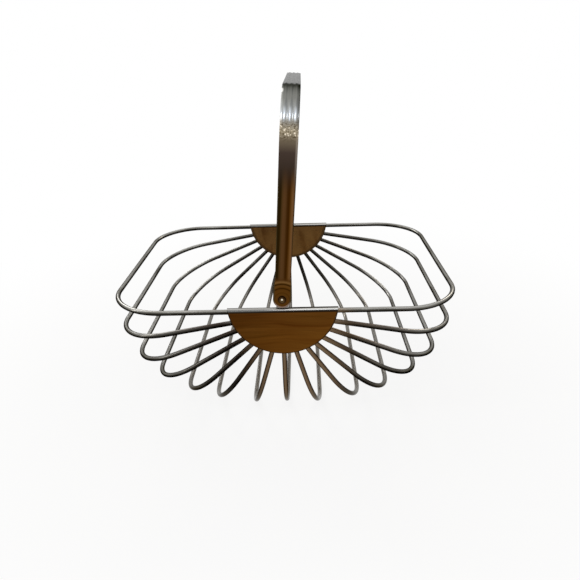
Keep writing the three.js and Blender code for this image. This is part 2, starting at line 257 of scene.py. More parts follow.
# Painted reflection: the legs near each plate take a brown tone for the brown plate they reflect, stronger
# at the front and darker towards the left.
from_plate = flat_offset(tree, wire_place.outputs["Object"], plate_middle)
out_from_plate = add(tree, "VectorMath", {0: from_plate}, operation="LENGTH")
near_plate = add(tree, "MapRange", {
    "Value": out_from_plate, "From Min": 55 * MM, "From Max": 155 * MM,
    "To Min": 0.95, "To Max": 0.0}, **smoothly)
wire_spot = add(tree, "SeparateXYZ", {"Vector": wire_place.outputs["Object"]})
from_middle = add(tree, "Math", {0: wire_spot.outputs["Y"]}, operation="ABSOLUTE")
on_leg = add(tree, "MapRange", {
    "Value": from_middle, "From Min": 95 * MM, "From Max": 115 * MM}, **smoothly)
under_rim = add(tree, "MapRange", {
    "Value": wire_spot.outputs["Z"], "From Min": fold_axis - 12 * MM, "From Max": fold_axis - 5 * MM,
    "To Min": 1.0, "To Max": 0.0}, **smoothly)
on_low_leg = add(tree, "Math", {0: on_leg, 1: under_rim}, operation="MULTIPLY")
to_rear = add(tree, "MapRange", {
    "Value": wire_spot.outputs["Y"], "From Min": -50 * MM, "From Max": 50 * MM,
    "To Min": 1.0, "To Max": 0.3})
brown_reflection_front = add(tree, "Math", {0: near_plate, 1: to_rear}, operation="MULTIPLY")
brown_reflection_share = add(tree, "Math", {0: brown_reflection_front, 1: on_low_leg}, operation="MULTIPLY")
to_right = add(tree, "MapRange", {
    "Value": wire_spot.outputs["X"], "From Min": -45 * MM, "From Max": 15 * MM}, **smoothly)
tint = add(tree, "Mix", {"Factor": to_right, "A": srgb("#5e4e45"), "B": srgb("#98816b")}, data_type="RGBA")
brown_reflected_tone = add(tree, "Mix", {
    "Factor": brown_reflection_share, "A": marked_and_lit_tone, "B": tint}, data_type="RGBA", blend_type="MULTIPLY")
# Painted reflection: the legs' faces turned towards a plate take its brown, with painted shade darker at the
# wire's sides.
sideways = add(tree, "Math", {0: turned_up.outputs["X"]}, operation="ABSOLUTE")
side_reflection_tone = add(tree, "ValToRGB", {"Fac": sideways}, stops=[
    (0.0, "#7b664f"), (0.6, "#5d4a36"), (0.95, "#32251a")])
facing_out = add(tree, "Math", {0: turned_up.outputs["Y"], 1: wire_spot.outputs["Y"]}, operation="MULTIPLY")
outer_side = add(tree, "MapRange", {
    "Value": facing_out, "From Min": -20 * MM, "From Max": 60 * MM, "To Max": 0.85}, **smoothly)
off_side_reflection = distance_from(tree, wire_spot.outputs["X"], side_reflection_middle)
under_plate = add(tree, "MapRange", {
    "Value": off_side_reflection, "From Min": 20 * MM, "From Max": 58 * MM, "To Min": 1.0, "To Max": 0.0}, **smoothly)
side_reflection_leg = add(tree, "Math", {0: outer_side, 1: under_plate}, operation="MULTIPLY")
side_variation = add(tree, "Math", {0: side_reflection_leg, 1: on_leg}, operation="MULTIPLY")
wire_colour = add(tree, "Mix", {"Factor": side_variation, "A": brown_reflected_tone, "B": side_reflection_tone}, data_type="RGBA")
# Painted reflection: near the table the wire is painted lighter, with a white edge tint, for the white table
# it reflects.
on_table = add(tree, "MapRange", {
    "Value": wire_spot.outputs["Z"], "From Min": 6 * MM, "From Max": 50 * MM,
    "To Min": 0.8, "To Max": 0.0}, **smoothly)
table_reflected_colour = add(tree, "Mix", {
    "Factor": on_table, "A": wire_colour, "B": srgb("#77726a")}, data_type="RGBA")
edge_shine = add(tree, "Mix", {
    "Factor": on_table, "A": srgb("#5a5751"), "B": srgb("#ffffff")}, data_type="RGBA")
polish, marks_relief = polish_and_relief(
    tree, marks, smooth=0.16, rough=0.24, strength=0.15, depth=0.05 * MM)
wire_surface = add(tree, "BsdfPrincipled", {
    "Base Color": table_reflected_colour, "Metallic": 1.0, "Roughness": polish, "Specular Tint": edge_shine,
    "Normal": marks_relief})
add(tree, "OutputMaterial", {"Surface": wire_surface})

for i in range(len(socket_angles)):
    for side_name, side in (("left", -1), ("right", 1)):
        node = f"{side_name}_rim_wire" if i == 0 else f"{side_name}_wire_{i}"
        if leg_angles[i] == 90:
            if side < 0:
                continue
            node = "centre_wire"
        wire = swept_wire(f"{node}_plated", wire_path(i, side), dulled_chromium)
        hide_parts(node)
        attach(wire, "basket")

# End plates
# A round steel sheet of 0.7 mm, folded over the wires' ends into two half-moon leaves. The leaves' edges
# are turned in, with a socket for each wire. The fold is polished, with painted highlights and shade, and
# the leaves are lacquered brown over a level grain.

plate_sheet = 0.7 * MM
cavity_half = plate_half - plate_sheet
rim_wall = 1.3 * MM
rim_rounding = 2.2 * MM
rim_steps = 8
leaf_seam = 0.7 * MM
socket_gap = 0.15 * MM
socket_radius = wire_radius + socket_gap
socket_sides = 32
slot_width = 11.6 * MM
slot_thickness = 2.1 * MM
fold_steps = 36
disc_sides = 180
hair = 0.02 * MM
sliver = 0.001 * MM
grain_sway = 14 * MM
both_ends = (("front", -1), ("rear", 1))


def folded_prism(half):
    """The folded sheet's outline, drawn out along X far beyond the plate."""
    outline = [(-half, fold_axis - 2 * plate_radius), (half, fold_axis - 2 * plate_radius)]
    for k in range(fold_steps + 1):
        angle = math.pi * k / fold_steps
        outline.append((half * math.cos(angle), fold_axis + half * math.sin(angle)))
    count = len(outline)
    points = [(x, y, z) for x in (-2 * plate_radius, 2 * plate_radius) for y, z in outline]
    faces = [tuple(reversed(range(count))), tuple(range(count, 2 * count))]
    faces += [(k, (k + 1) % count, count + (k + 1) % count, count + k) for k in range(count)]
    return points, faces


def turned(profile, sides, centre, closed=False):
    """A form turned about Y. Its profile lists (radius, y) from axis to axis, or closed on itself."""
    rows = []
    points = []
    for radius, y in profile:
        if radius == 0:
            rows.append([len(points)] * sides)
            points.append(centre + Vector((0, y, 0)))
            continue
        rows.append(range(len(points), len(points) + sides))
        for k in range(sides):
            angle = 2 * math.pi * k / sides
            points.append(centre + Vector((radius * math.cos(angle), y, radius * math.sin(angle))))
    pairs = list(zip(rows[:-1], rows[1:]))
    if closed:
        pairs.append((rows[-1], rows[0]))
    faces = []
    for a, b in pairs:
        for k in range(sides):
            n = (k + 1) % sides
            faces.append(tuple(dict.fromkeys((a[k], a[n], b[n], b[k]))))
    return points, faces


def drum(radius, half_length, sides, centre):
    """A cylinder about the Y direction."""
    profile = [(0, half_length), (radius, half_length), (radius, -half_length), (0, -half_length)]
    return turned(profile, sides, centre)


def block(low, high):
    """A box between two corners."""
    points = [(x, y, z) for x in (low[0], high[0]) for y in (low[1], high[1]) for z in (low[2], high[2])]
    return points, [(0, 1, 3, 2), (4, 6, 7, 5), (0, 4, 5, 1), (2, 3, 7, 6), (0, 2, 6, 4), (1, 5, 7, 3)]


def cut(piece, operation, *forms):
    """Cuts a piece's mesh by closed forms, one after another."""
    for points, faces in forms:
        tool = new_piece("cutting_form", points, faces, piece.data.materials[0])
        step = piece.modifiers.new("cut", "BOOLEAN")
        step.operation = operation
        step.solver = "MANIFOLD"
        step.object = tool
        result = bpy.data.meshes.new_from_object(piece.evaluated_get(bpy.context.evaluated_depsgraph_get()))
        piece.modifiers.clear()
        spent = [piece.data, tool.data]
        piece.data = result
        bpy.data.objects.remove(tool)
        for mesh in spent:
            bpy.data.meshes.remove(mesh)


def form_of(piece):
    """A piece's points and faces as a cutting form. The piece itself is removed."""
    mesh = piece.data
    form = [v.co.copy() for v in mesh.vertices], [tuple(p.vertices) for p in mesh.polygons]
    bpy.data.objects.remove(piece)
    bpy.data.meshes.remove(mesh)
    return form


def drop_slivers(mesh):
    """Takes out the edges and faces smaller than a sliver that cuts leave behind."""
    work = bmesh.new()
    work.from_mesh(mesh)
    bmesh.ops.remove_doubles(work, verts=work.verts, dist=sliver)
    bmesh.ops.dissolve_degenerate(work, edges=work.edges, dist=sliver)
    work.to_mesh(mesh)
    work.free()


def plate_rim(flank):
    """Half the plate's rounded edge, as (radius, y), from the leaf's flat to its middle."""
    edge = []
    for k in range(rim_steps + 1):
        angle = math.pi / 2 * (1 - k / rim_steps)
        radius = plate_radius + rim_rounding * (math.cos(angle) - 1)
        edge.append((radius, flank + rim_rounding * math.sin(angle)))
    return edge


def end_plate(name, y, material):
    """A folded sheet cut to a disc and hollowed, with its seam, its sockets and the ear's slot."""
    middle = Vector((0, 0, plate_middle))
    beyond = 2 * plate_half
    inner = plate_radius - rim_wall
    upper = plate_rim(plate_half + hair - rim_rounding)
    lower = [(radius, -depth) for radius, depth in reversed(upper)]
    disc = turned([(0, plate_half + hair), *upper, *lower, (0, -plate_half - hair)], disc_sides, middle)
    hollow = new_piece("hollow", *folded_prism(cavity_half), material)
    cut(hollow, "INTERSECT", drum(inner, beyond, disc_sides, middle))
    seam_inner, seam_outer = inner - rim_wall, plate_radius + rim_wall
    ring = [(seam_inner, leaf_seam / 2), (seam_outer, leaf_seam / 2)]
    ring += [(radius, -depth) for radius, depth in reversed(ring)]
    seam = new_piece("seam", *turned(ring, disc_sides, middle, closed=True), material)
    reach = 2 * plate_radius
    cut(seam, "INTERSECT", block((-reach, -beyond, 0), (reach, beyond, fold_axis - cavity_half)))
    sockets = []
    for i, angle in enumerate(socket_angles):
        for side in (-1, 1) if angle < 90 else (1,):
            leave, outward, _ = leg_of(i, side)
            across = outward.cross(Vector((0, 1, 0)))
            rings = []
            for end in (-wire_tail / 2, wire_tail / 2):
                for k in range(socket_sides):
                    turn = 2 * math.pi * k / socket_sides
                    spoke = math.cos(turn) * across + math.sin(turn) * Vector((0, 1, 0))
                    rings.append(leave + outward * end + socket_radius * spoke)
            near, far = list(range(socket_sides)), list(range(socket_sides, 2 * socket_sides))
            sides = [(near[k - 1], near[k], far[k], far[k - 1]) for k in range(socket_sides)]
            sockets.append((rings, [tuple(reversed(near)), tuple(far), *sides]))
    ear_slot = block(
        (-slot_width / 2, -slot_thickness / 2, fold_top - 2 * plate_sheet),
        (slot_width / 2, slot_thickness / 2, fold_top + 2 * plate_sheet))
    plate = new_piece(name, *folded_prism(plate_half), material)
    cut(plate, "INTERSECT", disc)
    cut(plate, "DIFFERENCE", form_of(hollow), form_of(seam), *sockets, ear_slot)
    drop_slivers(plate.data)
    plate.data.transform(Matrix.Translation((0, y, 0)))
    shade(plate.data)
    keep_flat = plate.modifiers.new("keep the leaves flat", "WEIGHTED_NORMAL")
    keep_flat.keep_sharp = True
    return plate


# Brown lacquer over brushed steel: a deep satin brown with a soft level figure like wood's, in streaks of
# 2.3 by 62 mm over broader ones of 10 by 77 mm, and with greyer upright streaks on the inner leaf. It has
# painted shade at the rim, and stops in a painted dark line of shade under the polished fold, which is
# painted in bands of highlight and shade.
plate_finish, tree = new_material("brown_lacquer_on_brushed_steel_with_painted_light_on_fold")
plate_place = add(tree, "TexCoord", {}).outputs["Object"]
plate_spot = add(tree, "SeparateXYZ", {"Vector": plate_place})
bend_place = add(tree, "Mapping", {
    "Vector": plate_place, "Scale": pattern_scale(58.8, math.inf, 33.3), "Location": (3.7, 0, 1.2)})
grain_bend = add(tree, "TexNoise", {"Vector": bend_place, "Scale": 1.0, "Detail": 1.0})
grain_rise = add(tree, "Math", {0: grain_bend, 1: grain_sway}, operation="MULTIPLY")
grain_shift = add(tree, "CombineXYZ", {"Z": grain_rise})
bent_place = add(tree, "VectorMath", {0: plate_place, 1: grain_shift}, operation="ADD")
grain_place = add(tree, "Mapping", {"Vector": bent_place, "Scale": pattern_scale(62.5, 25, 2.326)})
grain = add(tree, "TexNoise", {"Vector": grain_place, "Scale": 1.0, "Detail": 2.5, "Roughness": 0.5})
grain_tone = add(tree, "ValToRGB", {"Fac": grain}, stops=[
    (0.28, "#5b3b12"), (0.44, "#654318"), (0.58, "#6a471a"), (0.74, "#755020")])
figure_place = add(tree, "Mapping", {"Vector": bent_place, "Scale": pattern_scale(77, 333, 10.53)})
figure = add(tree, "TexNoise", {"Vector": figure_place, "Scale": 1.0, "Detail": 1.5, "Distortion": 0.5})
figure_tone = add(tree, "ValToRGB", {"Fac": figure}, stops=[
    (0.32, "#d2bda6"), (0.40, "#efe6dc"), (0.55, "#f6f3ee"), (0.66, "#ffffff")])
figured = add(tree, "Mix", {
    "Factor": 1.0, "A": grain_tone, "B": figure_tone}, data_type="RGBA", blend_type="MULTIPLY")
to_right = add(tree, "MapRange", {
    "Value": plate_spot.outputs["X"], "From Min": -plate_radius, "From Max": plate_radius})
side_variation = add(tree, "ValToRGB", {"Fac": to_right}, stops=[
    (0.05, "#d3cbc4"), (0.45, "#f0ebe4"), (0.95, "#ffffff")])
leaf_tone = add(tree, "Mix", {
    "Factor": 1.0, "A": figured, "B": side_variation}, data_type="RGBA", blend_type="MULTIPLY")
down_leaf = add(tree, "MapRange", {
    "Value": plate_spot.outputs["Z"], "From Min": plate_middle - plate_radius, "From Max": fold_axis})
depth_tone = add(tree, "ValToRGB", {"Fac": down_leaf}, stops=[
    (0.1, "#fff6ea"), (0.4, "#fff6e6"), (0.75, "#efe5e0"), (1.0, "#e8dcd8")])
deepened = add(tree, "Mix", {
    "Factor": 1.0, "A": leaf_tone, "B": depth_tone}, data_type="RGBA", blend_type="MULTIPLY")
from_middle = add(tree, "Math", {0: plate_spot.outputs["Y"]}, operation="ABSOLUTE")
inward = add(tree, "Math", {0: plate_spacing / 2, 1: from_middle}, operation="SUBTRACT")
is_inner = add(tree, "MapRange", {"Value": inward, "From Min": -1 * MM, "From Max": 1 * MM, "To Max": 0.75})
upright_place = add(tree, "Mapping", {"Vector": plate_place, "Scale": pattern_scale(13.33, 333, 45.5)})
upright = add(tree, "TexNoise", {"Vector": upright_place, "Scale": 1.0, "Detail": 2.0, "Distortion": 0.4})
inner_tone = add(tree, "ValToRGB", {"Fac": upright}, stops=[
    (0.34, "#4f351a"), (0.45, "#624727"), (0.6, "#684d2b"), (0.7, "#755430")])
both_leaves = add(tree, "Mix", {"Factor": is_inner, "A": deepened, "B": inner_tone}, data_type="RGBA")
from_centre = flat_offset(tree, plate_place, plate_middle)
to_rim = add(tree, "VectorMath", {0: from_centre}, operation="LENGTH")
rim_shade = add(tree, "MapRange", {
    "Value": to_rim, "From Min": plate_radius - 2.4 * MM, "From Max": plate_radius - 1.0 * MM,
    "To Max": 0.75}, **smoothly)
inner_rim = add(tree, "MapRange", {
    "Value": to_rim, "From Min": plate_radius - 4.6 * MM, "From Max": plate_radius - 3.0 * MM,
    "To Max": 0.8}, **smoothly)
inner_rim_shade = add(tree, "Math", {0: inner_rim, 1: is_inner}, operation="MULTIPLY")
edge_shade = add(tree, "Math", {0: rim_shade, 1: inner_rim_shade}, operation="MAXIMUM")
shaded_leaves = add(tree, "Mix", {
    "Factor": edge_shade, "A": both_leaves, "B": srgb("#2f2316")}, data_type="RGBA")
# Painted highlights and shade: the fold is coloured in bands by height, a light line at the top, grey below
# it and a dark line where it meets the leaf, different on the left and the right.
up_fold = add(tree, "MapRange", {
    "Value": plate_spot.outputs["Z"], "From Min": fold_axis - plate_half, "From Max": fold_top})
left_fold_painted_light = add(tree, "ValToRGB", {"Fac": up_fold}, stops=[
    (0.50, "#4a2f12"), (0.57, "#20160d"), (0.66, "#271e16"), (0.72, "#4e4d4a"), (0.84, "#5f5f5c"),
    (0.92, "#777674"), (0.97, "#aaa9a6"), (1.0, "#777674")])
right_fold_painted_light = add(tree, "ValToRGB", {"Fac": up_fold}, stops=[
    (0.50, "#4a2f12"), (0.58, "#22180f"), (0.72, "#1e150d"), (0.79, "#5b5955"), (0.86, "#bebdb9"),
    (0.93, "#cac9c5"), (0.965, "#474541"), (1.0, "#3c3a36")])
right_half = add(tree, "MapRange", {
    "Value": plate_spot.outputs["X"], "From Min": -22 * MM, "From Max": 12 * MM}, **smoothly)
fold_painted_light = add(tree, "Mix", {"Factor": right_half, "A": left_fold_painted_light, "B": right_fold_painted_light}, data_type="RGBA")
is_fold = add(tree, "MapRange", {"Value": up_fold, "From Min": 0.46, "From Max": 0.54})
plate_tone = add(tree, "Mix", {"Factor": is_fold, "A": shaded_leaves, "B": fold_painted_light}, data_type="RGBA")
satin = add(tree, "MapRange", {
    "Value": grain, "From Min": 0.3, "From Max": 0.7, "To Min": 0.26, "To Max": 0.36})
is_bright = add(tree, "MapRange", {"Value": up_fold, "From Min": 0.5, "From Max": 0.7})
plate_polish = add(tree, "Mix", {"Factor": is_bright, "A": satin, "B": 0.22}, data_type="FLOAT")
leaf_share = add(tree, "Math", {0: 1.0, 1: is_bright}, operation="SUBTRACT")
grain_height = add(tree, "Math", {0: grain, 1: leaf_share}, operation="MULTIPLY")
grain_relief = add(tree, "Bump", {"Height": grain_height, "Strength": 0.25, "Distance": 0.08 * MM})
plate_surface = add(tree, "BsdfPrincipled", {
    "Base Color": plate_tone, "Metallic": 1.0, "Roughness": plate_polish, "Specular Tint": srgb("#b0aca4"),
    "Normal": grain_relief})
add(tree, "OutputMaterial", {"Surface": plate_surface})

for end_name, end in both_ends:
    plate = end_plate(f"{end_name}_plate_folded", end * plate_spacing / 2, plate_finish)
    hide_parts(f"{end_name}_end_plate")
    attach(plate, "basket")

# Handle ears
# A flat steel ear stands up out of each fold through a slot, with its wide foot caught between the leaves.
# It is blanked from 1.5 mm strip, and its edges are slightly rounded by tumbling.

ear_thickness = 1.5 * MM
ear_neck = 5.5 * MM
ear_foot = 15 * MM
ear_foot_half = 9.5 * MM
ear_shoulder = 1.5 * MM
shoulder_drop = 0.6 * MM
ear_edge = 0.25 * MM
foot_half = 8.1 * MM
swing_gap = 0.9 * MM
pivot_z = fold_top + swing_gap + foot_half
pivot_hole = 2.2 * MM
round_steps = 32


def ear_piece(name, y, material):
    """A flat ear with a wide foot, a round top and a hole for its rivet."""
    shoulder = fold_top - plate_sheet - shoulder_drop
    outline = [
        (-ear_neck, shoulder), (-ear_foot_half, shoulder - ear_shoulder),
        (-ear_foot_half, shoulder - ear_foot), (ear_foot_half, shoulder - ear_foot),
        (ear_foot_half, shoulder - ear_shoulder), (ear_neck, shoulder)]
    for k in range(round_steps + 1):
        angle = math.pi * k / round_steps
        outline.append((ear_neck * math.cos(angle), pivot_z + ear_neck * math.sin(angle)))
    count = len(outline)
    points = [(x, depth, z) for depth in (-ear_thickness / 2, ear_thickness / 2) for x, z in outline]
    faces = [tuple(range(count)), tuple(reversed(range(count, 2 * count)))]
    faces += [(k, count + k, count + (k + 1) % count, (k + 1) % count) for k in range(count)]
    ear = new_piece(name, points, faces, material)
    cut(ear, "DIFFERENCE", drum(pivot_hole, ear_thickness, round_steps, Vector((0, 0, pivot_z))))
    ear.data.transform(Matrix.Translation((0, y, 0)))
    shade(ear.data)
    tumbled = ear.modifiers.new("tumbled edges", "BEVEL")
    tumbled.width = ear_edge
    tumbled.segments = 2
    tumbled.limit_method = "ANGLE"
    tumbled.angle_limit = math.radians(50)
    return ear


# Zinc on blanked steel: dull silver grey, with a fine mottle of about 2 mm.
dull_zinc, tree = new_material("dull_zinc_on_blanked_steel")
object_place = add(tree, "TexCoord", {}).outputs["Object"]
mottle = add(tree, "TexNoise", {
    "Vector": object_place, "Scale": 1 / (2.083 * MM), "Detail": 3.0, "Roughness": 0.6})
mottle_tone = add(tree, "ValToRGB", {"Fac": mottle}, stops=[(0.35, "#6d6860"), (0.65, "#8f8c86")])
mottle_polish, mottle_relief = polish_and_relief(
    tree, mottle, smooth=0.3, rough=0.45, strength=0.3, depth=0.05 * MM)
ear_surface = add(tree, "BsdfPrincipled", {
    "Base Color": mottle_tone, "Metallic": 1.0, "Roughness": mottle_polish, "Normal": mottle_relief})
add(tree, "OutputMaterial", {"Surface": ear_surface})

for end_name, end in both_ends:
    ear = ear_piece(f"{end_name}_ear_blanked", end * plate_spacing / 2, dull_zinc)
    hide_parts(f"{end_name}_handle_ear")
    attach(ear, "basket")

# Rivets
# A domed steel rivet holds each end of the handle to its ear, with its head outside and a flat closed head
# behind. It is headed cold and plated with the same browned metal as the handle's lower part.

rivet_gap = 0.3 * MM
strip_inner = plate_spacing / 2 + ear_thickness / 2 + rivet_gap
strip_thickness = 1.4 * MM
shank_radius = 1.9 * MM
head_radius = 3.5 * MM
head_height = 2 * MM
head_seat = strip_inner + strip_thickness + rivet_gap - plate_spacing / 2
tail_radius = 3.1 * MM
tail_height = 1.1 * MM
tail_chamfer = 0.5 * MM
dome_steps = 14
rivet_sides = 48
highlight_height = 1 * MM


def rivet_piece(name, end, material):
    """A rivet with its domed head towards its own end of the basket, its shank and its closed head."""
    tail_seat = -ear_thickness / 2 - rivet_gap
    tail_end = tail_seat - tail_height
    profile = [
        (0, tail_end), (tail_radius - tail_chamfer, tail_end), (tail_radius, tail_end + tail_chamfer),
        (tail_radius, tail_seat), (shank_radius, tail_seat), (shank_radius, head_seat)]
    for k in range(dome_steps):
        angle = math.pi / 2 * k / dome_steps
        profile.append((head_radius * math.cos(angle), head_seat + head_height * math.sin(angle)))
    profile.append((0, head_seat + head_height))
    centre = Vector((0, end * plate_spacing / 2, pivot_z))
    facing = [(radius, end * y) for radius, y in profile]
    return new_piece(name, *turned(facing, rivet_sides, centre), material)


# Browned nickel on cold-headed steel: a warm dark metal, with painted light in a ring and painted shade at
# the head's edge, round a painted highlight, and with stains about 1.4 mm wide.
browned_nickel, tree = new_material("browned_nickel_on_cold_headed_steel")
object_place = add(tree, "TexCoord", {}).outputs["Object"]
from_axis = flat_offset(tree, object_place, pivot_z)
from_centre = add(tree, "VectorMath", {0: from_axis}, operation="LENGTH")
# Painted light and shade: lighter in a ring on the dome and darker at its edge, with a painted highlight
# just above its centre.
across_head = add(tree, "MapRange", {"Value": from_centre, "From Max": head_radius})
from_painted_highlight = add(tree, "VectorMath", {0: from_axis, 1: (0, 0, highlight_height)}, operation="DISTANCE")
painted_highlight = add(tree, "MapRange", {
    "Value": from_painted_highlight, "From Min": 0.3 * MM, "From Max": 1.2 * MM,
    "To Min": 1.0, "To Max": 0.0}, **smoothly)
stains = add(tree, "TexNoise", {"Vector": object_place, "Scale": 1 / (1.43 * MM), "Detail": 3.0})
stains_and_painted_light = add(tree, "Math", {0: stains, 1: 0.35, 2: across_head}, operation="MULTIPLY_ADD")
rivet_tone = add(tree, "ValToRGB", {"Fac": stains_and_painted_light}, stops=[
    (0.30, "#3a2c18"), (0.60, "#5e4c2e"), (0.82, "#3b2812"), (1.0, "#2a1a0c")])
rivet_colour = add(tree, "Mix", {
    "Factor": painted_highlight, "A": rivet_tone, "B": srgb("#efe5d2")}, data_type="RGBA")
rivet_polish, rivet_relief = polish_and_relief(
    tree, stains, smooth=0.14, rough=0.28, strength=0.2, depth=0.05 * MM)
rivet_surface = add(tree, "BsdfPrincipled", {
    "Base Color": rivet_colour, "Metallic": 1.0, "Roughness": rivet_polish, "Normal": rivet_relief})
add(tree, "OutputMaterial", {"Surface": rivet_surface})

for end_name, end in both_ends:
    rivet = rivet_piece(f"{end_name}_rivet_domed", end, browned_nickel)
    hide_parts(f"{end_name}_rivet")
    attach(rivet, "basket")

# Swing handle
# A rolled steel strip with three ridges along it, bent to an arch with a flat top. Each round end is
# drilled for its rivet under two curved ridges. The strip is bright at the top of the arch and browned on
# its two legs.

handle_height = 185 * MM
handle_lean = math.radians(4.2)
handle_bend = 40 * MM
bend_start = fold_top + handle_height - pivot_z - strip_thickness - handle_bend
strip_half = 6.9 * MM
grip_half = 7.5 * MM
ridge_count = 3
ridge_pitch = 4 * MM
ridge_height = 0.47 * MM
arc_count = 2
arc_start = 11 * MM
arc_pitch = 3.8 * MM
arc_height = 0.4 * MM
arc_end = arc_start + arc_count * arc_pitch
formed_from = arc_end - arc_pitch
formed_to = arc_end + arc_pitch
lip_depth = 1.2 * MM
lip_thickness = 1.1 * MM
edge_rounding = 0.6 * MM
steps_across = 84
foot_pattern = 22 * MM
cracked_band = 144 * MM
glare_place = 156.5 * MM
edge_glint_across = -7 * MM
edge_glint_along = 180 * MM
edge_glint_squeeze = 0.3
end_turn = math.radians(88)
end_steps = 26
foot_steps = 12
leg_steps = 70
curve_steps = 32
top_steps = 8


def ease(start, end, value):
    """A smooth rise from 0 to 1 while a value goes from start to end."""
    t = min(max((value - start) / (end - start), 0), 1)
    return t * t * (3 - 2 * t)


def half_width(along):
    """Half the strip's width at a distance along it from the rivet."""
    if along < 0:
        return math.sqrt(max(foot_half ** 2 - along ** 2, 0))
    up_leg = min(max((along - formed_to) / (bend_start - formed_to), 0), 1)
    half = strip_half + (grip_half - strip_half) * up_leg
    return foot_half + (half - foot_half) * ease(arc_start, formed_to, along)


def ridges(x, along):
    """Height of the ridges at x across the strip and at a distance along it from the rivet."""
    from_rivet = math.hypot(x, along)
    half = half_width(along)
    pitch = ridge_pitch * half / strip_half
    edge_fade = 1 - ease(half - lip_thickness, half, abs(x))
    if along <= 0 or from_rivet < arc_start:
        return 0
    if from_rivet < arc_end:
        wave = 0.5 - 0.5 * math.cos(2 * math.pi * (from_rivet - arc_start) / arc_pitch)
        return arc_height * wave * edge_fade
    wave = 0.5 + 0.5 * math.cos(2 * math.pi * x / pitch) if abs(x) < ridge_count / 2 * pitch else 0
    return ridge_height * wave * edge_fade * ease(arc_end, formed_to, from_rivet)


def edge_drop(x, along):
    """How far the outer face falls at x, from the rounding that follows the strip's outline."""
    from_edge = foot_half - math.hypot(x, along) if along < 0 else half_width(along) - abs(x)
    short = max(edge_rounding - max(from_edge, 0), 0)
    return edge_rounding - math.sqrt(edge_rounding ** 2 - short ** 2)


def strip_section(along):
    """One closed section of the strip, as (x across, height over the inner face)."""
    half = half_width(along)
    lip = max(lip_depth * ease(formed_from, formed_to, along), hair)
    lip_inner = half * (1 - lip_thickness / strip_half)
    section = [(-half, -lip)]
    for k in range(steps_across + 1):
        x = half * math.sin(math.pi / 2 * (2 * k / steps_across - 1))
        section.append((x, strip_thickness + ridges(x, along) - edge_drop(x, along)))
    return section + [(half, -lip), (lip_inner, -lip), (lip_inner, 0), (-lip_inner, 0), (-lip_inner, -lip)]


def strip_stations():
    """Stations along the strip: a point on its inner face, the way out, and how far it is from the rivet."""
    formed_length = formed_to + arc_pitch - foot_half
    distances = [-foot_half * math.sin(end_turn * (1 - k / end_steps)) for k in range(end_steps + 1)]
    distances += [foot_half * k / foot_steps for k in range(1, foot_steps + 1)]
    distances += [foot_half + formed_length * k / leg_steps for k in range(1, leg_steps + 1)]
    front = [(Vector((0, -strip_inner, along)), Vector((0, -1, 0)), along) for along in distances]
    centre = Vector((0, handle_bend - strip_inner, bend_start))
    for k in range(curve_steps + 1):
        angle = math.pi / 2 * k / curve_steps
        out = Vector((0, -math.cos(angle), math.sin(angle)))
        front.append((centre + out * handle_bend, out, bend_start + handle_bend * angle))
    half_top = strip_inner - handle_bend
    top_start = bend_start + handle_bend * math.pi / 2
    for k in range(1, top_steps + 1):
        inward = half_top * k / (top_steps + 0.5)
        front.append((centre + Vector((0, inward, handle_bend)), Vector((0, 0, 1)), top_start + inward))
    rear = []
    for point, out, along in reversed(front):
        rear.append((Vector((0, -point.y, point.z)), Vector((0, -out.y, out.z)), along))
    return front + rear


def strip_piece(name, material):
    """The handle's strip, with UVs in metres: across the strip, and along it from the nearer rivet."""
    sections = []
    spots = []
    for point, out, along in strip_stations():
        section = strip_section(along)
        sections.append([point + Vector((x, 0, 0)) + out * height for x, height in section])
        spots += [(x, along) for x, _ in section]
    count = len(sections[0])
    points = [point for section in sections for point in section]
    faces = ring_faces(len(sections), count)
    for ring in (0, len(sections) - 1):
        middle = sum(sections[ring], Vector()) / count
        points.append(middle)
        spots.append((0, -foot_half))
        faces += [(ring * count + (k + 1) % count, ring * count + k, len(points) - 1) for k in range(count)]
    strip = new_piece(name, points, faces, material)
    uv = strip.data.uv_layers.new(name="strip")
    for loop in strip.data.loops:
        uv.data[loop.index].uv = spots[loop.vertex_index]
    beyond = strip_inner + 2 * strip_thickness
    cut(strip, "DIFFERENCE", drum(pivot_hole, beyond, round_steps, Vector()))
    strip.data.transform(Matrix.Translation((0, 0, pivot_z)) @ Matrix.Rotation(handle_lean, 4, "Y"))
    shade(strip.data)
    return strip


# Chromium on rolled strip, lacquered brown on the legs: glossy brown with painted reflections in lengthwise
# bands 2 to 4 mm wide, painted shade in the arcs' grooves and round the rivet, and a painted highlight at
# the round ends' edges. It fades dark at two thirds of a leg, with a painted highlight on the right edge,
# and ends in a cracked band with painted glints of 2.6 mm. The bare metal above is grey, with painted light
# and shade along it, painted highlights on the ridges of the bends and at the left edge, and painted shade
# on the bends' right edge and crest. The rolls' hairlines are really finer than 0.1 mm, and are drawn 0.4 mm
# wide to show.
strip_finish, tree = new_material("chromium_on_rolled_strip_lacquered_brown_below")
strip_place = add(tree, "UVMap", {}, uv_map="strip")
strip_spot = add(tree, "SeparateXYZ", {"Vector": strip_place})
strip_x = strip_spot.outputs["X"]
strip_y = strip_spot.outputs["Y"]
streak_place = add(tree, "Mapping", {"Vector": strip_place, "Scale": pattern_scale(1.613, 83.3)})
streaks = add(tree, "TexNoise", {"Vector": streak_place, "Scale": 1.0, "Detail": 2.5, "Roughness": 0.5})
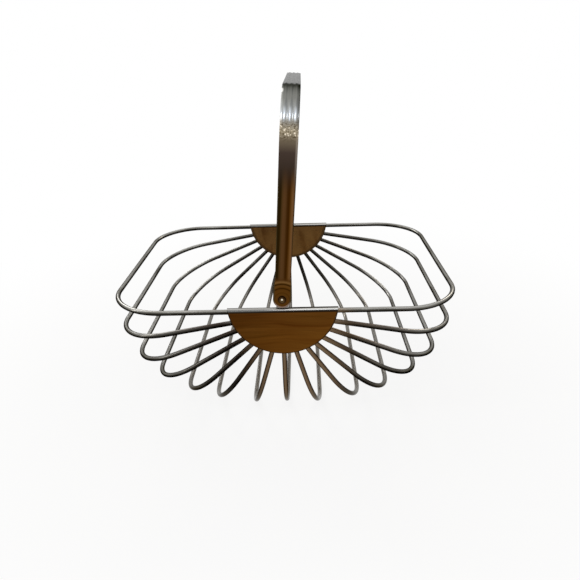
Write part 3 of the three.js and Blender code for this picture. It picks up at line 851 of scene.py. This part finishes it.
# Painted reflections: light and dark lengthwise bands across the strip, as its ridges and grooves reflect.
across = add(tree, "MapRange", {
    "Value": strip_x, "From Min": -grip_half, "From Max": grip_half, "To Min": -0.05, "To Max": 0.95})
across_streaked = add(tree, "Math", {0: streaks, 1: 0.1, 2: across}, operation="MULTIPLY_ADD")
painted_reflection_bands = add(tree, "ValToRGB", {"Fac": across_streaked}, stops=[
    (0.045, "#4a4027"), (0.08, "#221706"), (0.19, "#271a05"), (0.27, "#453016"), (0.38, "#54381e"),
    (0.49, "#4e3319"), (0.575, "#3c2208"), (0.665, "#351b02"), (0.74, "#50310f"), (0.80, "#624220"),
    (0.87, "#6b4a2a"), (0.915, "#5c4026"), (0.955, "#2a1b0a")])
from_rivet = add(tree, "VectorMath", {0: strip_place}, operation="LENGTH")
out_from_rivet = add(tree, "MapRange", {"Value": from_rivet, "From Max": foot_pattern})
# Painted shadow and shade: a dark ring round the rivet's head, painted shade in the arcs' grooves and
# lighter bands on their crests.
foot_painted_light_and_shade = add(tree, "ValToRGB", {"Fac": out_from_rivet}, stops=[
    (0.15, "#231405"), (0.18, "#4b2e10"), (0.26, "#53350f"), (0.30, "#452808"), (0.35, "#54340f"),
    (0.46, "#4f300d"), (0.50, "#2a1401"), (0.55, "#55350f"), (0.63, "#5a3a16"), (0.68, "#271301"),
    (0.72, "#50330f"), (0.77, "#70512c"), (0.86, "#4a2d0f")])
above_arcs = add(tree, "MapRange", {
    "Value": strip_y, "From Min": arc_end - 2 * MM, "From Max": formed_to}, **smoothly)
lacquer_tone = add(tree, "Mix", {"Factor": above_arcs, "A": foot_painted_light_and_shade, "B": painted_reflection_bands}, data_type="RGBA")
below_rivet = add(tree, "VectorMath", {0: strip_place, 1: (1, 0, 0)}, operation="MINIMUM")
from_end_middle = add(tree, "VectorMath", {0: below_rivet}, operation="LENGTH")
# Painted highlight: a light line along the bottom of the round end's edge, darker olive up its sides.
at_edge = add(tree, "MapRange", {
    "Value": from_end_middle, "From Min": foot_half - 1.6 * MM, "From Max": foot_half - 1.0 * MM,
    "To Max": 0.9}, **smoothly)
up_end = add(tree, "MapRange", {"Value": strip_y, "From Min": -6 * MM, "From Max": -1 * MM}, **smoothly)
edge_highlight_tone = add(tree, "Mix", {
    "Factor": up_end, "A": srgb("#8f7768"), "B": srgb("#40351f")}, data_type="RGBA")
lacquer_with_edge_highlight = add(tree, "Mix", {"Factor": at_edge, "A": lacquer_tone, "B": edge_highlight_tone}, data_type="RGBA")
up_strip = add(tree, "MapRange", {"Value": strip_y, "From Min": 80 * MM, "From Max": 280 * MM})
# Partly painted light and shade: along the strip the colour turns dark above the lacquer, then has a painted
# light band, a painted highlight band at the glare and a painted dark line of shade where the bend meets the
# top.
painted_light_along_strip = add(tree, "ValToRGB", {"Fac": up_strip}, stops=[
    (0.10, "#2d2219"), (0.17, "#362b23"), (0.24, "#433730"), (0.285, "#6b5f4e"), (0.318, "#a79c87"),
    (0.35, "#8e8981"), (0.385, "#a6a9ac"), (0.41, "#888a8b"), (0.45, "#70716f"), (0.52, "#666765"),
    (0.565, "#5f605e"), (0.585, "#474847"), (0.605, "#676866"), (0.74, "#737472")])
lacquer_ends = add(tree, "MapRange", {
    "Value": strip_y, "From Min": 91 * MM, "From Max": 124 * MM}, **smoothly)
ragged_ends = add(tree, "Math", {
    0: streaks, 1: 0.2, 2: lacquer_ends}, operation="MULTIPLY_ADD", use_clamp=True)
ends_share = add(tree, "MapRange", {"Value": ragged_ends, "From Min": 0.1})
strip_tone = add(tree, "Mix", {"Factor": ends_share, "A": lacquer_with_edge_highlight, "B": painted_light_along_strip}, data_type="RGBA")
# Painted highlight: the ridges are lighter near the glare's place on each bend.
ridge_turn = add(tree, "Math", {
    0: strip_x, 1: 2 * math.pi * strip_half / (ridge_pitch * grip_half)}, operation="MULTIPLY")
ridge_wave = add(tree, "Math", {0: ridge_turn}, operation="COSINE")
ridge_share = add(tree, "MapRange", {"Value": ridge_wave, "From Min": -0.4, "From Max": 0.95})
off_glare = distance_from(tree, strip_y, glare_place)
at_peak = add(tree, "MapRange", {
    "Value": off_glare, "From Max": 8 * MM, "To Min": 1.0, "To Max": 0.0}, **smoothly)
ridge_shine = add(tree, "Math", {0: ridge_share, 1: at_peak}, operation="MULTIPLY")
ridged_tone = add(tree, "Mix", {
    "Factor": ridge_shine, "A": strip_tone, "B": srgb("#ccd2da")}, data_type="RGBA")
# Painted highlight and shade: on the bends the left edge is lighter and the right edge darker.
bend_edge_light_and_shade = add(tree, "ValToRGB", {"Fac": across_streaked}, stops=[
    (0.05, "#f4f4f2"), (0.09, "#c4c4c2"), (0.15, "#bcbcba"), (0.82, "#bcbcba"), (0.90, "#9c9c9a"),
    (0.94, "#858583")])
on_bend = add(tree, "MapRange", {"Value": strip_y, "From Min": 140 * MM, "From Max": 152 * MM}, **smoothly)
sided_tone = add(tree, "Mix", {
    "Factor": on_bend, "A": ridged_tone, "B": bend_edge_light_and_shade}, data_type="RGBA", blend_type="OVERLAY")
# Painted highlight: a light line along the right edge of each leg below the bend.
right_edge = add(tree, "MapRange", {
    "Value": strip_x, "From Min": 5.2 * MM, "From Max": 6.4 * MM, "To Max": 0.3}, **smoothly)
below_bend = add(tree, "MapRange", {
    "Value": strip_y, "From Min": 98 * MM, "From Max": 126 * MM}, **smoothly)
edge_on_leg = add(tree, "Math", {0: right_edge, 1: below_bend}, operation="MULTIPLY")
off_bend = add(tree, "Math", {0: 1.0, 1: on_bend}, operation="SUBTRACT")
edge_highlight_share = add(tree, "Math", {0: edge_on_leg, 1: off_bend}, operation="MULTIPLY")
edge_highlit_tone = add(tree, "Mix", {
    "Factor": edge_highlight_share, "A": sided_tone, "B": srgb("#b9ada0")}, data_type="RGBA")
# Painted highlight: a light spot drawn out along the strip's left edge, high on each bend.
edge_glint_place = add(tree, "Mapping", {"Vector": strip_place, "Scale": (1, edge_glint_squeeze, 1)})
from_edge_glint = add(tree, "VectorMath", {
    0: edge_glint_place, 1: (edge_glint_across, edge_glint_squeeze * edge_glint_along, 0)}, operation="DISTANCE")
edge_glint_share = add(tree, "MapRange", {
    "Value": from_edge_glint, "From Min": 0.2 * MM, "From Max": 1.4 * MM,
    "To Min": 0.9, "To Max": 0.0}, **smoothly)
edge_glint_tone = add(tree, "Mix", {
    "Factor": edge_glint_share, "A": edge_highlit_tone, "B": srgb("#dededc")}, data_type="RGBA")
# Painted glints: bright warm specks in a band low on each bend.
glint_place = add(tree, "Mapping", {"Vector": strip_place, "Scale": pattern_scale(2.632, 2.632)})
glints = add(tree, "TexVoronoi", {
    "Vector": glint_place, "Scale": 1.0, "Randomness": 1.0}, voronoi_dimensions="2D")
glint_core = add(tree, "MapRange", {
    "Value": glints, "From Min": 0.12, "From Max": 0.36, "To Min": 1.0, "To Max": 0.0}, **smoothly)
off_band = distance_from(tree, strip_y, cracked_band)
in_band = add(tree, "MapRange", {
    "Value": off_band, "From Min": 1.5 * MM, "From Max": 5.5 * MM,
    "To Min": 1.0, "To Max": 0.0}, **smoothly)
glint_cell = add(tree, "SeparateColor", {"Color": glints.outputs["Color"]})
glint_lit = add(tree, "MapRange", {"Value": glint_cell.outputs["Red"], "From Min": 0.25, "From Max": 0.6})
lit_core = add(tree, "Math", {0: glint_core, 1: glint_lit}, operation="MULTIPLY")
glint_share = add(tree, "Math", {0: lit_core, 1: in_band}, operation="MULTIPLY")
glinting_tone = add(tree, "Mix", {
    "Factor": glint_share, "A": edge_glint_tone, "B": srgb("#fff4e0")}, data_type="RGBA")
crazing_place = add(tree, "Mapping", {"Vector": strip_place, "Scale": pattern_scale(1.613, 1.22)})
crazing = add(tree, "TexNoise", {"Vector": crazing_place, "Scale": 1.0, "Detail": 1.5, "Distortion": 0.6})
crazing_tone = add(tree, "ValToRGB", {"Fac": crazing}, stops=[
    (0.38, "#978d7b"), (0.50, "#f4f0e8"), (0.60, "#ffffff")])
in_crazing = add(tree, "MapRange", {
    "Value": off_band, "From Min": 4 * MM, "From Max": 9 * MM, "To Min": 0.85, "To Max": 0.0}, **smoothly)
crazed_tone = add(tree, "Mix", {
    "Factor": in_crazing, "A": glinting_tone, "B": crazing_tone}, data_type="RGBA", blend_type="MULTIPLY")
hairlines_place = add(tree, "Mapping", {"Vector": strip_place, "Scale": pattern_scale(0.385, 16.67)})
hairlines = add(tree, "TexNoise", {"Vector": hairlines_place, "Scale": 1.0, "Detail": 2.0})
strip_polish, hairlines_relief = polish_and_relief(
    tree, hairlines, smooth=0.16, rough=0.24, strength=0.15, depth=0.04 * MM)
strip_surface = add(tree, "BsdfPrincipled", {
    "Base Color": crazed_tone, "Metallic": 1.0, "Roughness": strip_polish, "Specular Tint": srgb("#8f8f8d"),
    "Normal": hairlines_relief})
add(tree, "OutputMaterial", {"Surface": strip_surface})

strip = strip_piece("swing_handle_fluted", strip_finish)
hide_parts("swing_handle")
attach(strip, "handle")

# Studio
# A plain white table under soft lamps, in a plain pale room. The table keeps the basket's shadow near it
# and turns to plain white further out, as the room does all round.

table_reach = 6
shadow_inner = 0.15
shadow_outer = 0.6


def seen_directly(tree):
    """Adds nodes that are 1 to the camera and in reflections, and 0 for the light that a surface throws."""
    ray = add(tree, "LightPath", {})
    seen = add(tree, "Math", {
        0: ray.outputs["Is Camera Ray"], 1: ray.outputs["Is Glossy Ray"]}, operation="ADD")
    return add(tree, "Math", {
        0: seen, 1: ray.outputs["Is Transmission Ray"]}, operation="ADD", use_clamp=True)


# White laminate: matt, with a faint speckle of about 1 mm, and lit evenly where it turns to plain white.
laminate_finish, tree = new_material("white_laminate_table")
object_place = add(tree, "TexCoord", {}).outputs["Object"]
out_from_middle = add(tree, "VectorMath", {0: object_place}, operation="LENGTH")
far = add(tree, "MapRange", {
    "Value": out_from_middle, "From Min": shadow_inner, "From Max": shadow_outer,
    "To Min": 0.84}, **smoothly)
seen = seen_directly(tree)
whitened = add(tree, "Math", {0: far, 1: seen}, operation="MULTIPLY")
speckle = add(tree, "TexNoise", {"Vector": object_place, "Scale": 1 / (1.111 * MM), "Detail": 2.0})
laminate_tone = add(tree, "ValToRGB", {"Fac": speckle}, stops=[(0.3, "#f2f1ef"), (0.7, "#f7f6f4")])
laminate = add(tree, "BsdfDiffuse", {"Color": laminate_tone})
white = add(tree, "Emission", {"Color": (1, 1, 1, 1), "Strength": 1.0})
laminate_surface = add(tree, "MixShader", {"Fac": whitened, 1: laminate, 2: white})
add(tree, "OutputMaterial", {"Surface": laminate_surface})
table_corners = [(x * table_reach, y * table_reach, 0) for x, y in ((-1, -1), (1, -1), (1, 1), (-1, 1))]
floor = new_piece("table_top", table_corners, [(0, 1, 2, 3)], laminate_finish)

room = bpy.data.worlds.new("pale_room")
bpy.context.scene.world = room
room.use_nodes = True
tree = room.node_tree
tree.nodes.clear()
seen = seen_directly(tree)
room_light = add(tree, "Background", {"Color": (1.0, 0.99, 0.97, 1), "Strength": 0.45})
room_seen = add(tree, "Background", {"Color": (1, 1, 1, 1), "Strength": 1.0})
room_surface = add(tree, "MixShader", {"Fac": seen, 1: room_light, 2: room_seen})
add(tree, "OutputWorld", {"Surface": room_surface})


def lamp(name, place, aim, size, watts, colour):
    """A soft rectangular lamp that faces a point."""
    light = bpy.data.lights.new(name, "AREA")
    light.shape = "RECTANGLE"
    light.size, light.size_y = size
    light.energy = watts
    light.color = srgb(colour)[:3]
    holder = bpy.data.objects.new(name, light)
    holder.location = place
    holder.rotation_mode = "QUATERNION"
    holder.rotation_quaternion = (Vector(aim) - Vector(place)).to_track_quat("-Z", "Y")
    bpy.context.scene.collection.objects.link(holder)


lamp("overhead_softbox", (-0.4, 0.5, 2.0), aim=(0, 0, 0.12), size=(2.4, 2.2), watts=7, colour="#fffaf2")
lamp("front_window", (-0.04, -1.02, 1.42), aim=(0, -0.12, 0.29), size=(1, 0.22), watts=2.5, colour="#eef4ff")
lamp("rear_left_spot", (-1.1, 1.5, 1.3), aim=(0, 0, 0.12), size=(0.7, 0.7), watts=9, colour="#ffffff")
lamp("right_spot", (1.0, 1.38, 1.15), aim=(0, 0, 0.12), size=(0.45, 0.45), watts=4, colour="#fff6ea")
lamp("left_strip", (-1.6, -0.5, 0.9), aim=(0, 0, 0.14), size=(0.2, 1.1), watts=4, colour="#ffffff")

# Camera
# A normal lens about 0.6 m from the basket's middle, a little above it and to its right, turned slightly.
# Its place and its angles were fitted to points read from the photograph.

lens = bpy.data.cameras.new("photographer")
lens.sensor_width = 36
lens.lens = 32.9
lens.clip_start = 0.01
lens.clip_end = 40
photographer = bpy.data.objects.new("photographer", lens)
photographer.matrix_world = (
    Matrix.Translation((0.0205, -0.5444, 0.3413))
    @ Matrix.Rotation(math.radians(1.8), 4, "Z")
    @ Matrix.Rotation(math.radians(65.06), 4, "X")
    @ Matrix.Rotation(math.radians(-1.89), 4, "Z"))
bpy.context.scene.collection.objects.link(photographer)
bpy.context.scene.camera = photographer
bpy.context.scene.view_settings.view_transform = "Standard"
